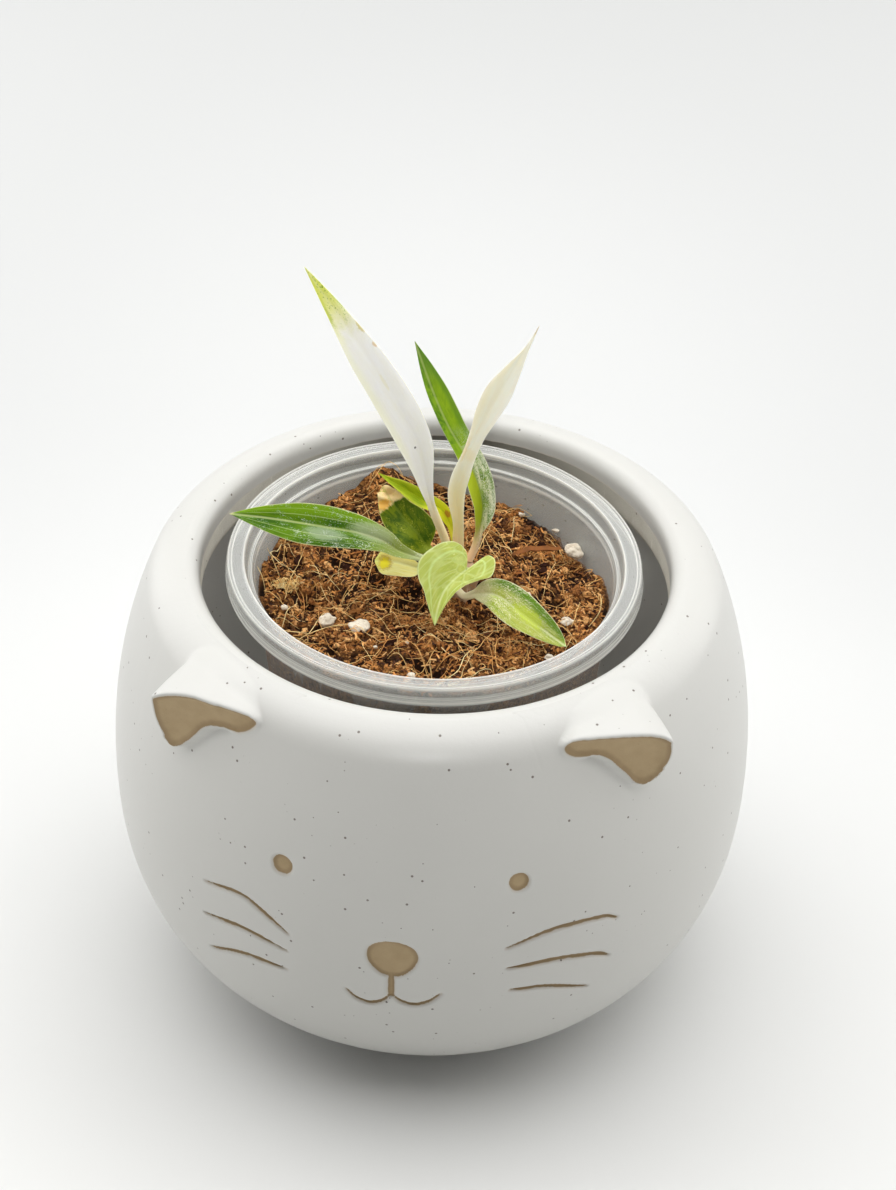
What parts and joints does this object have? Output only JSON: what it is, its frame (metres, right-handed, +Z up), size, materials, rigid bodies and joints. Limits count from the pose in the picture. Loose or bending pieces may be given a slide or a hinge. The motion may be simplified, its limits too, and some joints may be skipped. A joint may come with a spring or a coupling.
{
  "type": "potted strawberry caramel philodendron",
  "caption": "Young variegated philodendron with slim cream and green leaves, in coir in a clear cup inside a round ceramic cat planter.",
  "frame": {"origin": "centre of the pot's foot, on the surface it stands on", "axes": "+Z up, the cat's face towards -Y, its ear on the viewer's right towards +X"},
  "size_m": [0.1462, 0.1462, 0.1833],
  "materials": {
    "glaze": "satin white glaze with fine dark specks, bare grey-brown clay inside and in the ears, eyes, nose, mouth and whiskers",
    "clear_plastic": "clear to milky thin plastic",
    "coir": "rough red-brown fibres and crumbs with white perlite",
    "stem": "matt",
    "cream_leaf": "satin cream with green flecks",
    "green_leaf": "satin green with silver-white streaks",
    "olive_leaf": "satin dark green, tan at the tip",
    "lime_leaf": "satin yellow-green",
    "yellow_leaf": "satin pale yellow",
    "pale_leaf": "satin pale green",
    "silver_leaf": "satin green with silver streaks"
  },
  "bodies": {
    "root": {"pot": "glaze", "cup": "clear_plastic", "soil": "coir", "crown": "stem", "leaf_cream_tall": "cream_leaf", "leaf_cream_twisted": "cream_leaf", "leaf_green_middle": "green_leaf", "leaf_green_left": "green_leaf", "leaf_olive_back": "olive_leaf", "leaf_lime_narrow": "lime_leaf", "leaf_yellow_stub": "yellow_leaf", "leaf_heart_front": "pale_leaf", "leaf_silver_front": "silver_leaf"}
  },
  "joints": []
}
